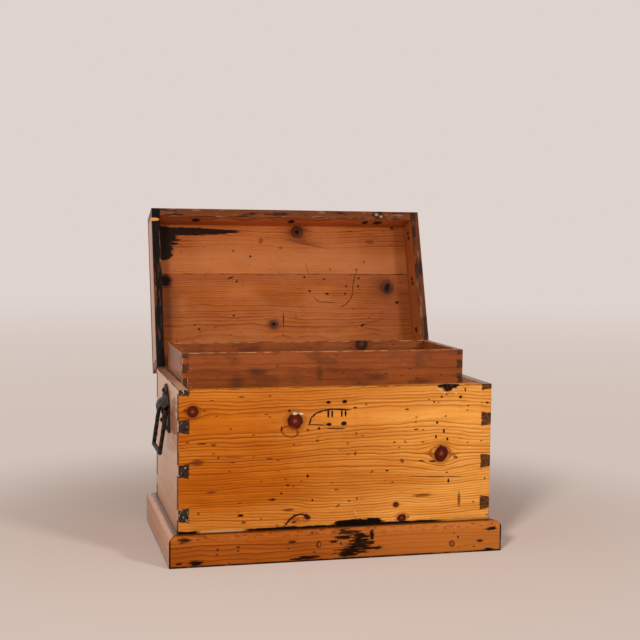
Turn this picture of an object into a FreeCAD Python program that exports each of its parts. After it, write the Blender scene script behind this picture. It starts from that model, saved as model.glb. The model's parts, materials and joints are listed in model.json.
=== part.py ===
import FreeCAD, Part
import math
import os

os.makedirs("parts", exist_ok=True)
V = FreeCAD.Vector

# All sizes are millimetres. X runs along the front, Y from front to back, Z up from the floor.

# Carcase
body_length = 650.0
body_depth = 375.0
rim_height = 347.0
wall = 20.0
bottom_thickness = 12.0
bottom_board_count = 3
bottom_board_gap = 0.5

# Dovetails of the carcase: pins are on the end boards, tails on the front and back
pin_half = 9.0
pin_width = 21.0
pin_count = 3
top_tail = 53.0
pin_slope = 1.0 / 7.0

# Plinth
plinth_height = 63.0
plinth_thickness = 20.0
plinth_round = 13.0

# Lid
lid_rim_height = 64.0
lid_rim_thickness = 19.0
lid_panel_thickness = 17.0
lid_front_board_width = 140.0
lid_panel_gap = 0.5
lid_pin_half = 8.0
lid_pin_width = 13.0
lid_pin_count = 1
lid_top_tail = 17.5
lid_open_angle = 108.0

# Sliding tray
tray_rise = 60.5
tray_height = 100.0
tray_board = 13.0
tray_depth = 235.0
tray_bottom_thickness = 7.0
tray_back_gap = 6.5
tray_side_clearance = 1.5
tray_pin_half = 9.0
tray_pin_width = 14.0
tray_pin_count = 2
tray_top_tail = 15.0

# Runners that carry the tray
runner_width = 20.0
runner_height = 24.0

# Hinges: a pair of butts let into the back board and the back rim of the lid
hinge_inset = 105.0
leaf_length = 66.0
leaf_depth = 17.0
leaf_thickness = 2.0
knuckle_radius = 3.8
knuckle_count = 3
knuckle_gap = 0.2
knuckle_stand_off = 4.0
hinge_pin_radius = 1.9
hinge_pin_clearance = 0.06
leaf_screw_count = 2
leaf_screw_inset = 15.0

# Wood screws in the hinge leaves
screw_head_radius = 3.4
screw_shank_radius = 1.7
screw_head_depth = 1.7
screw_length = 15.0
screw_sides = 8
fastener_clearance = 0.06
fastener_sink = 0.25
nail_mouth = 1.0

# Cut nails, with a rectangular head on a square shank
nail_head_length = 6.0
nail_head_width = 3.6
nail_head_thickness = 1.2
nail_shank = 2.6
nail_length = 34.0
brad_head_length = 3.6
brad_head_width = 2.2
brad_head_thickness = 0.9
brad_shank = 1.7
brad_length = 18.0
nail_edge_inset = 45.0
lid_long_nail_count = 3
lid_short_nail_count = 3
lid_short_nail_inset = 90.0
bottom_long_nail_count = 4
bottom_nail_share = 0.3
bottom_long_nail_inset = 90.0
tray_long_nail_count = 3
tray_short_nail_count = 2
runner_nail_count = 3
plinth_nail_level = 33.0
plinth_long_nail_count = 3
plinth_short_nail_count = 2
plinth_nail_inset = 75.0

# Hooded drop handles. Heights are from the pivot of the bail, and "out" is away from the end board.
pivot_below_rim = 63.0
pivot_out = 9.0
plate_thickness = 4.0
plate_half_width = 56.0
plate_below_pivot = 43.0
plate_shoulder_above = 16.0
plate_haunch_above = 36.0
plate_haunch_out = 36.0
plate_tip_above = 53.0
hood_centre_above = 2.0
hood_reach = 22.0
hood_end_reach = 15.0
hood_half_width = 57.0
hood_wall = 3.5
hood_outer_strips = 4
hood_inner_strips = 2
hood_point_below = 12.0
hood_edge_above = 9.0
hood_point_half_width = 34.0
lug_offset = 38.0
lug_width = 12.0
lug_radius = 8.0
bail_bar = 9.0
bail_bar_bevel = 2.4
bail_half_width = 61.0
bail_drop = 84.0
bail_hang_angle = 8.0
journal_radius = 4.4
journal_half_length = 50.0
journal_clearance = 0.08
bail_end_gap = 2.0

# Rose-headed nails that hold the handle plates
rose_radius = 6.5
rose_top_radius = 2.2
rose_sides = 8
rose_upper_height = 4.0
rose_shank = 4.0
rose_shank_length = 16.0
rose_low_out = 54.0
rose_low_below = 32.0
rose_lobe_margin = 2.5
rose_high_out = 22.0
rose_high_above = 36.0
bail_rest_clearance = 0.35

# Places worked out from the sizes above
half_length = body_length / 2
half_depth = body_depth / 2
front_y = -half_depth
back_y = half_depth
hinge_y = back_y + knuckle_stand_off
hinge_z = rim_height
tray_back_y = back_y - wall - tray_back_gap
tray_front_y = tray_back_y - tray_depth
tray_top = rim_height + tray_rise
tray_bottom = tray_top - tray_height
tray_half_length = half_length - wall - tray_side_clearance
lid_top = rim_height + lid_rim_height + lid_panel_thickness
pivot_z = rim_height - pivot_below_rim


def save(shape, node):
    shape.exportStep("parts/" + node + ".step")
    print(node, round(shape.Volume), "mm3", len(shape.Solids), "solids")


def slab(x0, x1, y0, y1, z0, z1):
    return Part.makeBox(x1 - x0, y1 - y0, z1 - z0, V(x0, y0, z0))


def prism(points, along):
    wire = Part.makePolygon(points + [points[0]])
    return Part.Face(wire).extrude(along)


def spaced(low, high, count):
    step = (high - low) / (count - 1)
    return [low + step * index for index in range(count)]


# Dovetailed boxes, shared by the carcase, the lid and the tray

def pin_levels(low, high, half, width, count, upper_tail):
    tail = (high - low - 2 * half - count * width - upper_tail) / count
    levels = [(low, low + half)]
    start = low + half + tail
    for index in range(count):
        levels.append((start, start + width))
        start += width + tail
    levels.append((high - half, high))
    return levels


def pin_solid(outer_x, inner_x, y0, y1, level, low, high):
    flare = abs(inner_x - outer_x) * pin_slope
    bottom, top = level
    inner_bottom = bottom if bottom == low else bottom - flare
    inner_top = top if top == high else top + flare
    corners = [(outer_x, bottom), (outer_x, top), (inner_x, inner_top), (inner_x, inner_bottom)]
    return prism([V(x, y0, z) for x, z in corners], V(0, y1 - y0, 0))


def pins(side, half, thickness, y0, y1, levels):
    low = levels[0][0]
    high = levels[-1][1]
    outer_x = side * half
    inner_x = side * (half - thickness)
    return [pin_solid(outer_x, inner_x, y0, y1, level, low, high) for level in levels]


def tail_board(half, thickness, y0, y1, levels):
    board = slab(-half, half, y0, y1, levels[0][0], levels[-1][1])
    sockets = pins(-1, half, thickness, y0, y1, levels) + pins(1, half, thickness, y0, y1, levels)
    return board.cut(Part.makeCompound(sockets))


def pin_board(side, half, thickness, y0, y1, levels):
    xs = sorted((side * half, side * (half - thickness)))
    board = slab(xs[0], xs[1], y0 + thickness, y1 - thickness, levels[0][0], levels[-1][1])
    corner_pins = pins(side, half, thickness, y0, y0 + thickness, levels)
    corner_pins += pins(side, half, thickness, y1 - thickness, y1, levels)
    return board.multiFuse(corner_pins).removeSplitter()


def dovetailed_box(half, y0, y1, thickness, levels):
    return {
        "front": tail_board(half, thickness, y0, y0 + thickness, levels),
        "back": tail_board(half, thickness, y1 - thickness, y1, levels),
        "left": pin_board(-1, half, thickness, y0, y1, levels),
        "right": pin_board(1, half, thickness, y0, y1, levels),
    }


# Nails and screws, each made twice: the piece, and the slightly larger hole that it sits in

def cross_axes(direction):
    along = V(0, 0, 1) if abs(direction.z) < 0.5 else V(1, 0, 0)
    return along, direction.cross(along)


def block(start, direction, length, width, depth):
    along, across = cross_axes(direction)
    corners = [(-1, -1), (1, -1), (1, 1), (-1, 1)]
    points = [start + along * (i * length / 2) + across * (j * width / 2) for i, j in corners]
    return prism(points, direction * depth)


def ring(centre, direction, radius, sides):
    along, across = cross_axes(direction)
    points = []
    for index in range(sides):
        turn = 2 * math.pi * (index + 0.5) / sides
        points.append(centre + along * (radius * math.sin(turn)) + across * (radius * math.cos(turn)))
    return points


def tapered(start, direction, radius, end_radius, depth, sides):
    near = ring(start, direction, radius, sides)
    far = ring(start + direction * depth, direction, end_radius, sides)
    outlines = [near[::-1], far]
    for index in range(sides):
        after = (index + 1) % sides
        outlines.append([near[index], near[after], far[after], far[index]])
    shell = Part.Shell([Part.Face(Part.makePolygon(points + [points[0]])) for points in outlines])
    shell.sewShape()
    return Part.makeSolid(shell)


def cut_nail(place, direction, sizes, extra):
    head_length, head_width, head_depth, shank, length = sizes
    start = place + direction * fastener_sink
    head = block(start, direction, head_length + 2 * extra, head_width + 2 * extra, head_depth)
    shank_start = start + direction * head_depth
    side = shank + 2 * extra
    return head.fuse(block(shank_start, direction, side, side, length - head_depth + extra)).removeSplitter()


def nail_way(place, direction, sizes):
    extra = 2 * fastener_clearance
    depth = nail_mouth + fastener_sink
    mouth = block(place - direction * nail_mouth, direction, sizes[0] + extra, sizes[1] + extra, depth)
    return mouth.fuse(cut_nail(place, direction, sizes, fastener_clearance))


def wood_screw(place, direction, extra):
    head_radius = screw_head_radius + extra
    shank_radius = screw_shank_radius + extra
    head = tapered(place, direction, head_radius, shank_radius, screw_head_depth, screw_sides)
    neck = ring(place + direction * screw_head_depth, direction, shank_radius, screw_sides)
    shank = prism(neck, direction * (screw_length - screw_head_depth + extra))
    return head.fuse(shank).removeSplitter()


def screw_ways(places, direction):
    return [wood_screw(place, direction, fastener_clearance) for place in places]


large_nail = (nail_head_length, nail_head_width, nail_head_thickness, nail_shank, nail_length)
brad = (brad_head_length, brad_head_width, brad_head_thickness, brad_shank, brad_length)


def bored(shape, ways):
    return shape.cut(Part.makeCompound(ways))


# Carcase boards and bottom

def carcase_boards():
    levels = pin_levels(bottom_thickness, rim_height, pin_half, pin_width, pin_count, top_tail)
    return dovetailed_box(half_length, front_y, back_y, wall, levels)


def bottom_boards():
    width = (body_depth - bottom_board_gap * (bottom_board_count - 1)) / bottom_board_count
    boards = []
    for index in range(bottom_board_count):
        y0 = front_y + index * (width + bottom_board_gap)
        boards.append(slab(-half_length, half_length, y0, y0 + width, 0, bottom_thickness))
    return boards


def bottom_nail_places():
    places = []
    width = body_depth / bottom_board_count
    for x in (-half_length + wall / 2, half_length - wall / 2):
        for index in range(bottom_board_count):
            for share in (bottom_nail_share, 1 - bottom_nail_share):
                places.append(V(x, front_y + (index + share) * width, 0))
    run = half_length - bottom_long_nail_inset
    for y in (front_y + wall / 2, back_y - wall / 2):
        for x in spaced(-run, run, bottom_long_nail_count):
            places.append(V(x, y, 0))
    return places


# Plinth, mitred at its four corners

def plinth_section():
    bottom_out = V(0, -plinth_thickness, 0)
    shoulder = V(0, -plinth_thickness, plinth_height - plinth_round)
    crown = V(0, plinth_round - plinth_thickness, plinth_height)
    turn = plinth_round * (1 - math.sqrt(0.5))
    middle = V(0, -plinth_thickness + turn, plinth_height - turn)
    edges = [
        Part.LineSegment(V(0, 0, 0), bottom_out).toShape(),
        Part.LineSegment(bottom_out, shoulder).toShape(),
        Part.Arc(shoulder, middle, crown).toShape(),
        Part.LineSegment(crown, V(0, 0, plinth_height)).toShape(),
        Part.LineSegment(V(0, 0, plinth_height), V(0, 0, 0)).toShape(),
    ]
    return Part.Face(Part.Wire(edges))


def plinth_length(half, reach):
    full = half + plinth_thickness
    strip = plinth_section()
    strip.translate(V(-full, 0, 0))
    strip = strip.extrude(V(2 * full, 0, 0))
    mitre = [V(-full, -plinth_thickness, 0), V(full, -plinth_thickness, 0), V(half, 0, 0), V(-half, 0, 0)]
    strip = strip.common(prism(mitre, V(0, 0, plinth_height)))
    strip.translate(V(0, -reach, 0))
    return strip


def plinth_boards():
    front = plinth_length(half_length, half_depth)
    left = plinth_length(half_depth, half_length)
    back = front.copy()
    back.rotate(V(0, 0, 0), V(0, 0, 1), 180)
    right = left.copy()
    left.rotate(V(0, 0, 0), V(0, 0, 1), -90)
    right.rotate(V(0, 0, 0), V(0, 0, 1), 90)
    return {"front": front, "back": back, "left": left, "right": right}


def plinth_nail_places():
    long_reach = half_length - plinth_nail_inset
    short_reach = half_depth - plinth_nail_inset
    long_run = spaced(-long_reach, long_reach, plinth_long_nail_count)
    short_run = spaced(-short_reach, short_reach, plinth_short_nail_count)
    outer_x = half_length + plinth_thickness
    outer_y = half_depth + plinth_thickness
    places = [(V(x, -outer_y, plinth_nail_level), V(0, 1, 0)) for x in long_run]
    places += [(V(x, outer_y, plinth_nail_level), V(0, -1, 0)) for x in long_run]
    places += [(V(-outer_x, y, plinth_nail_level), V(1, 0, 0)) for y in short_run]
    places += [(V(outer_x, y, plinth_nail_level), V(-1, 0, 0)) for y in short_run]
    return places


# Hinges

def leaf_start(side):
    return side * (half_length - hinge_inset) - leaf_length / 2


def knuckle_span(side, index):
    pitch = leaf_length / knuckle_count
    start = leaf_start(side) + index * pitch
    return start + knuckle_gap / 2, start + pitch - knuckle_gap / 2


def hinge_leaf(side, upper):
    z0 = hinge_z if upper else hinge_z - leaf_thickness
    x0 = leaf_start(side)
    leaf = slab(x0, x0 + leaf_length, back_y - leaf_depth, back_y, z0, z0 + leaf_thickness)
    for index in range(1 if upper else 0, knuckle_count, 2):
        k0, k1 = knuckle_span(side, index)
        web = slab(k0, k1, back_y, hinge_y, z0, z0 + leaf_thickness)
        barrel = Part.makeCylinder(knuckle_radius, k1 - k0, V(k0, hinge_y, hinge_z), V(1, 0, 0))
        leaf = leaf.fuse(web).fuse(barrel)
    bore_radius = hinge_pin_radius + hinge_pin_clearance
    bore = Part.makeCylinder(bore_radius, leaf_length, V(x0, hinge_y, hinge_z), V(1, 0, 0))
    return leaf.removeSplitter().cut(bore)


def hinge_pin(side):
    start = V(leaf_start(side), hinge_y, hinge_z)
    return Part.makeCylinder(hinge_pin_radius, leaf_length, start, V(1, 0, 0))


def leaf_seat(side, upper):
    z0 = hinge_z if upper else hinge_z - leaf_thickness
    x0 = leaf_start(side)
    return slab(x0, x0 + leaf_length, back_y - leaf_depth, back_y, z0, z0 + leaf_thickness)


def leaf_screw_places(side):
    first = leaf_start(side) + leaf_screw_inset
    last = leaf_start(side) + leaf_length - leaf_screw_inset
    y = back_y - leaf_depth / 2
    return [V(x, y, hinge_z) for x in spaced(first, last, leaf_screw_count)]


# Tray

def tray_boards():
    low = tray_bottom + tray_bottom_thickness
    levels = pin_levels(low, tray_top, tray_pin_half, tray_pin_width, tray_pin_count, tray_top_tail)
    return dovetailed_box(tray_half_length, tray_front_y, tray_back_y, tray_board, levels)


def tray_floor():
    top = tray_bottom + tray_bottom_thickness
    return slab(-tray_half_length, tray_half_length, tray_front_y, tray_back_y, tray_bottom, top)


def tray_nail_places():
    reach = tray_half_length - nail_edge_inset
    long_run = spaced(-reach, reach, tray_long_nail_count)
    short_run = spaced(tray_front_y + nail_edge_inset, tray_back_y - nail_edge_inset, tray_short_nail_count)
    middle = tray_board / 2
    places = [V(x, tray_front_y + middle, tray_bottom) for x in long_run]
    places += [V(x, tray_back_y - middle, tray_bottom) for x in long_run]
    for side in (-1, 1):
        places += [V(side * (tray_half_length - middle), y, tray_bottom) for y in short_run]
    return places


def runner(side):
    xs = sorted((side * (half_length - wall), side * (half_length - wall - runner_width)))
    return slab(xs[0], xs[1], front_y + wall, back_y - wall, tray_bottom - runner_height, tray_bottom)


def runner_nail_places(side):
    x = side * (half_length - wall - runner_width)
    level = tray_bottom - runner_height / 2
    inset = wall + nail_edge_inset
    return [V(x, y, level) for y in spaced(front_y + inset, back_y - inset, runner_nail_count)]


# Lid, made shut and then swung open about the hinge line

def opened(shape):
    shape.rotate(V(0, hinge_y, hinge_z), V(1, 0, 0), -lid_open_angle)
    return shape


def lid_rims():
    high = rim_height + lid_rim_height
    levels = pin_levels(rim_height, high, lid_pin_half, lid_pin_width, lid_pin_count, lid_top_tail)
    return dovetailed_box(half_length, front_y, back_y, lid_rim_thickness, levels)


def lid_boards():
    low = rim_height + lid_rim_height
    seam = front_y + lid_front_board_width
    front = slab(-half_length, half_length, front_y, seam, low, lid_top)
    back = slab(-half_length, half_length, seam + lid_panel_gap, back_y, low, lid_top)
    return {"front": front, "back": back}


def lid_nail_places():
    edge = lid_rim_thickness / 2
    long_reach = half_length - nail_edge_inset
    short_reach = half_depth - lid_short_nail_inset
    long_run = spaced(-long_reach, long_reach, lid_long_nail_count)
    short_run = spaced(-short_reach, short_reach, lid_short_nail_count)
    places = [V(x, y, lid_top) for x in long_run for y in (front_y + edge, back_y - edge)]
    places += [V(side * (half_length - edge), y, lid_top) for y in short_run for side in (-1, 1)]
    return places


# Handles, made with the pivot at height 0 and X outwards from the end board, then placed on both ends

def plate_panel():
    half = plate_half_width
    foot = -plate_below_pivot
    left_foot = V(0, -half, foot)
    right_foot = V(0, half, foot)
    left_shoulder = V(0, -half, plate_shoulder_above)
    right_shoulder = V(0, half, plate_shoulder_above)
    tip = V(0, 0, plate_tip_above)
    edges = [
        Part.LineSegment(left_foot, right_foot).toShape(),
        Part.LineSegment(right_foot, right_shoulder).toShape(),
        Part.Arc(right_shoulder, V(0, plate_haunch_out, plate_haunch_above), tip).toShape(),
        Part.Arc(tip, V(0, -plate_haunch_out, plate_haunch_above), left_shoulder).toShape(),
        Part.LineSegment(left_shoulder, left_foot).toShape(),
    ]
    return Part.Face(Part.Wire(edges)).extrude(V(plate_thickness, 0, 0))


def plate_lobes():
    radius = rose_radius + rose_lobe_margin
    lobes = []
    for side in (-1, 1):
        centre = V(0, side * rose_low_out, -rose_low_below)
        lobes.append(Part.makeCylinder(radius, plate_thickness, centre, V(1, 0, 0)))
    return lobes


def hood_barrel(thinner, strips):
    centre = hood_centre_above
    crown = hood_reach - hood_end_reach
    bow_radius = (hood_half_width ** 2 + crown ** 2) / (2 * crown)
    profile = [V(0, hood_half_width, centre), V(0, -hood_half_width, centre)]
    for y in spaced(-hood_half_width, hood_half_width, strips + 1):
        bow = bow_radius - math.sqrt(bow_radius ** 2 - y ** 2)
        profile.append(V(0, y, centre + hood_reach - thinner - bow))
    face = Part.Face(Part.makePolygon(profile + [profile[0]]))
    return face.revolve(V(0, 0, centre), V(0, 1, 0), 180)


def hood():
    shell = hood_barrel(0, hood_outer_strips).cut(hood_barrel(hood_wall, hood_inner_strips))
    half = hood_half_width
    top = hood_centre_above + hood_reach
    point = hood_point_half_width
    shield = [
        (-half, top), (half, top), (half, hood_edge_above), (point, hood_edge_above),
        (0, -hood_point_below), (-point, hood_edge_above), (-half, hood_edge_above),
    ]
    return shell.common(prism([V(0, y, z) for y, z in shield], V(hood_reach, 0, 0)))


def lug(offset):
    start = offset - lug_width / 2
    eye = Part.makeCylinder(lug_radius, lug_width, V(pivot_out, start, 0), V(0, 1, 0))
    web = slab(0, pivot_out, start, start + lug_width, -lug_radius, lug_radius)
    return eye.fuse(web)


def bail_face_out(height):
    lean = math.radians(bail_hang_angle)
    return pivot_out - height * math.tan(lean) - bail_bar / 2 / math.cos(lean)


def rose_nails():
    low_height = bail_face_out(rose_top_radius - rose_low_below) - plate_thickness - bail_rest_clearance
    nails = []
    for side in (-1, 1):
        nails.append((V(plate_thickness, side * rose_low_out, -rose_low_below), low_height))
        nails.append((V(plate_thickness, side * rose_high_out, rose_high_above), rose_upper_height))
    return nails


def rose_nail(place, height):
    head = tapered(place, V(1, 0, 0), rose_radius, rose_top_radius, height, rose_sides)
    length = plate_thickness + rose_shank_length
    return head.fuse(block(place, V(-1, 0, 0), rose_shank, rose_shank, length)).removeSplitter()


def rose_way(place):
    side = rose_shank + 2 * fastener_clearance
    length = plate_thickness + rose_shank_length + fastener_clearance
    return block(place, V(-1, 0, 0), side, side, length)


def handle_plate():
    lugs = [lug(side * lug_offset) for side in (-1, 1)]
    plate = plate_panel().multiFuse(plate_lobes() + lugs + [hood()]).removeSplitter()
    reach = lug_offset + lug_width
    bore_radius = journal_radius + journal_clearance
    bore = Part.makeCylinder(bore_radius, 2 * reach, V(pivot_out, -reach, 0), V(0, 1, 0))
    return bored(plate, [bore] + [rose_way(place) for place, height in rose_nails()])


def bail_section(centre, first, second):
    flat = bail_bar / 2
    bevel = flat - bail_bar_bevel
    corners = [
        (flat, -bevel), (flat, bevel), (bevel, flat), (-bevel, flat),
        (-flat, bevel), (-flat, -bevel), (-bevel, -flat), (bevel, -flat),
    ]
    return [centre + first * i + second * j for i, j in corners]


def bail_side(half_run, reach, journal_gap):
    full = half_run + bail_bar / 2
    strip = prism(bail_section(V(pivot_out, -full, -reach), V(1, 0, 0), V(0, 0, 1)), V(0, 2 * full, 0))
    inner = half_run - bail_bar / 2
    depth = bail_bar
    low = -reach - bail_bar / 2
    mitre = [
        V(0, -full, low), V(0, full, low), V(0, inner, low + depth), V(0, -inner, low + depth),
    ]
    strip = strip.common(prism(mitre, V(2 * pivot_out, 0, 0)))
    if journal_gap:
        strip = strip.cut(slab(0, 2 * pivot_out, -journal_gap, journal_gap, low, low + depth))
    return strip


def bail():
    half = bail_half_width - bail_bar / 2
    middle = bail_drop / 2
    foot = bail_side(half, middle, 0)
    head = bail_side(half, middle, lug_offset + lug_width / 2 + bail_end_gap)
    head.rotate(V(pivot_out, 0, 0), V(1, 0, 0), 180)
    near = bail_side(middle, half, 0)
    far = near.copy()
    near.rotate(V(pivot_out, 0, 0), V(1, 0, 0), 90)
    far.rotate(V(pivot_out, 0, 0), V(1, 0, 0), -90)
    loop = foot.multiFuse([near, far, head])
    loop.translate(V(0, 0, -middle))
    journal = Part.makeCylinder(
        journal_radius, 2 * journal_half_length, V(pivot_out, -journal_half_length, 0), V(0, 1, 0)
    )
    loop = loop.fuse(journal).removeSplitter()
    loop.rotate(V(pivot_out, 0, 0), V(0, 1, 0), -bail_hang_angle)
    return loop


def on_end(shape, side):
    placed = shape.copy()
    placed.translate(V(half_length, 0, pivot_z))
    if side < 0:
        placed.rotate(V(0, 0, 0), V(0, 0, 1), 180)
    return placed


# Assembly

def build_carcase():
    boards = carcase_boards()
    floor_boards = bottom_boards()
    plinth = plinth_boards()
    up = V(0, 0, 1)
    floor_ways = [nail_way(place, up, large_nail) for place in bottom_nail_places()]
    plinth_ways = [nail_way(place, direction, large_nail) for place, direction in plinth_nail_places()]
    leaf_ways = screw_ways(leaf_screw_places(-1) + leaf_screw_places(1), V(0, 0, -1))
    handle_ways = [on_end(rose_way(place), side) for side in (-1, 1) for place, height in rose_nails()]
    for side, name in ((-1, "left"), (1, "right")):
        runner_ways = [nail_way(place, V(side, 0, 0), large_nail) for place in runner_nail_places(side)]
        save(bored(runner(side), runner_ways), name + "_tray_runner")
        end_ways = floor_ways + plinth_ways + runner_ways + handle_ways
        save(bored(boards[name], end_ways), name + "_end_board")
    save(bored(boards["front"], floor_ways + plinth_ways), "front_board")
    back = bored(boards["back"], floor_ways + plinth_ways + leaf_ways)
    save(bored(back, [leaf_seat(side, False) for side in (-1, 1)]), "back_board")
    for index, board in enumerate(floor_boards):
        save(bored(board, floor_ways + plinth_ways), "bottom_board_" + str(index + 1))
    for name, board in plinth.items():
        save(bored(board, plinth_ways), "plinth_" + name)


def build_carcase_fasteners():
    up = V(0, 0, 1)
    bottom = [cut_nail(place, up, large_nail, 0) for place in bottom_nail_places()]
    save(Part.makeCompound(bottom), "bottom_nails")
    around = [cut_nail(place, direction, large_nail, 0) for place, direction in plinth_nail_places()]
    save(Part.makeCompound(around), "plinth_nails")
    held = []
    for side in (-1, 1):
        held += [cut_nail(place, V(side, 0, 0), large_nail, 0) for place in runner_nail_places(side)]
    save(Part.makeCompound(held), "runner_nails")


def build_hinges():
    for side, name in ((-1, "left"), (1, "right")):
        places = leaf_screw_places(side)
        lower = bored(hinge_leaf(side, False), screw_ways(places, V(0, 0, -1)))
        upper = bored(hinge_leaf(side, True), screw_ways(places, V(0, 0, 1)))
        save(lower, name + "_hinge_lower_leaf")
        save(opened(upper), name + "_hinge_upper_leaf")
        save(hinge_pin(side), name + "_hinge_pin")
    places = leaf_screw_places(-1) + leaf_screw_places(1)
    save(Part.makeCompound([wood_screw(place, V(0, 0, -1), 0) for place in places]), "hinge_lower_screws")
    upper_screws = Part.makeCompound([wood_screw(place, V(0, 0, 1), 0) for place in places])
    save(opened(upper_screws), "hinge_upper_screws")


def build_lid():
    down = V(0, 0, -1)
    rims = lid_rims()
    panel_ways = [nail_way(place, down, large_nail) for place in lid_nail_places()]
    leaf_ways = screw_ways(leaf_screw_places(-1) + leaf_screw_places(1), V(0, 0, 1))
    rims["back"] = bored(rims["back"], leaf_ways + [leaf_seat(side, True) for side in (-1, 1)])
    for name, rim in rims.items():
        save(opened(bored(rim, panel_ways)), "lid_rim_" + name)
    for name, board in lid_boards().items():
        save(opened(bored(board, panel_ways)), "lid_board_" + name)
    nails = [cut_nail(place, down, large_nail, 0) for place in lid_nail_places()]
    save(opened(Part.makeCompound(nails)), "lid_nails")


def build_tray():
    up = V(0, 0, 1)
    ways = [nail_way(place, up, brad) for place in tray_nail_places()]
    for name, board in tray_boards().items():
        save(bored(board, ways), "tray_" + name)
    save(bored(tray_floor(), ways), "tray_bottom")
    save(Part.makeCompound([cut_nail(place, up, brad, 0) for place in tray_nail_places()]), "tray_brads")


def build_handles():
    plate = handle_plate()
    loop = bail()
    nails = Part.makeCompound([rose_nail(place, height) for place, height in rose_nails()])
    for side, name in ((-1, "left"), (1, "right")):
        save(on_end(plate, side), name + "_handle_plate")
        save(on_end(loop, side), name + "_bail")
        save(on_end(nails, side), name + "_handle_nails")


build_carcase()
build_carcase_fasteners()
build_hinges()
build_lid()
build_tray()
build_handles()
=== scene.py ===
# %% [markdown]
# An old pine tool chest, dressed for its portrait.
# The boards, the tray, the lid and the iron come in from the construction model, each in its place.
# This lesson gives them what a working life gave the real one: soft arrises, knots, stains and rust.

# %% Load the construction model
import bpy
import json
import math
from mathutils import Matrix, Vector, noise

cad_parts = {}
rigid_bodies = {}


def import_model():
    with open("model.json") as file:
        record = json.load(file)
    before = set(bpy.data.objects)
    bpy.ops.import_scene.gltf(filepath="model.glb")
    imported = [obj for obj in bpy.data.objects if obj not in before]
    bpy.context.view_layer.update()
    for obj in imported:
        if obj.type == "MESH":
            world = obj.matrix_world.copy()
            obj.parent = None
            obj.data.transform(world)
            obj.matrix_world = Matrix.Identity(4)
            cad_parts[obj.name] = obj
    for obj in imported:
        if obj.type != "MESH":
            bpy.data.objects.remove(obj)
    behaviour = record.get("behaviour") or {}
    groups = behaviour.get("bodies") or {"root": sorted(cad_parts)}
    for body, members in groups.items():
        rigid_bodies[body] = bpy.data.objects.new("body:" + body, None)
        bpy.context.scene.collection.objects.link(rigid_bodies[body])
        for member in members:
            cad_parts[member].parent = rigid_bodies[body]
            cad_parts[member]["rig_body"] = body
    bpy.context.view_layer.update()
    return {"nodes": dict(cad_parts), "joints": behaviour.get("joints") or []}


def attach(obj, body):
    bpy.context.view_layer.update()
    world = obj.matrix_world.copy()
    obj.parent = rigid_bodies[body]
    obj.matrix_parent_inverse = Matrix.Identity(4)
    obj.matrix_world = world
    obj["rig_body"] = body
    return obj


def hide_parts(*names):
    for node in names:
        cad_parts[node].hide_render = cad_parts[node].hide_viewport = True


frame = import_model()
nodes = frame["nodes"]

# %% [markdown]
# The portrait was taken from low in front of the chest, a little to its left.
# A camera can be aimed with a Track To constraint, or by its three axes.
# The axes are used here, because the horizon in the photograph leans by half a degree.

# %% Camera
camera_place = Vector((-0.62685, -2.50510, 0.65618))
heading = 0.2466
pitch = -0.0729
roll = 0.0116

ahead = Vector((math.sin(heading) * math.cos(pitch), math.cos(heading) * math.cos(pitch), math.sin(pitch)))
level = Vector((math.cos(heading), -math.sin(heading), 0))
upward = level.cross(ahead)
right = level * math.cos(roll) + upward * math.sin(roll)
top = upward * math.cos(roll) - level * math.sin(roll)

lens = bpy.data.cameras.new("portrait")
lens.sensor_width = 36
lens.lens = 67.75
lens.clip_end = 50
camera = bpy.data.objects.new("portrait", lens)
bpy.context.scene.collection.objects.link(camera)
turn = Matrix((right, top, -ahead)).transposed().to_4x4()
camera.matrix_world = Matrix.Translation(camera_place) @ turn
bpy.context.scene.camera = camera
print("camera", tuple(round(x, 3) for x in camera_place))

# %% [markdown]
# Materials are sums and products of many small patterns.
# They could be wired by hand, one node after another, but then the recipe is hard to read.
# A small class wraps a socket, so that the recipe is written as arithmetic instead.

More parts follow.
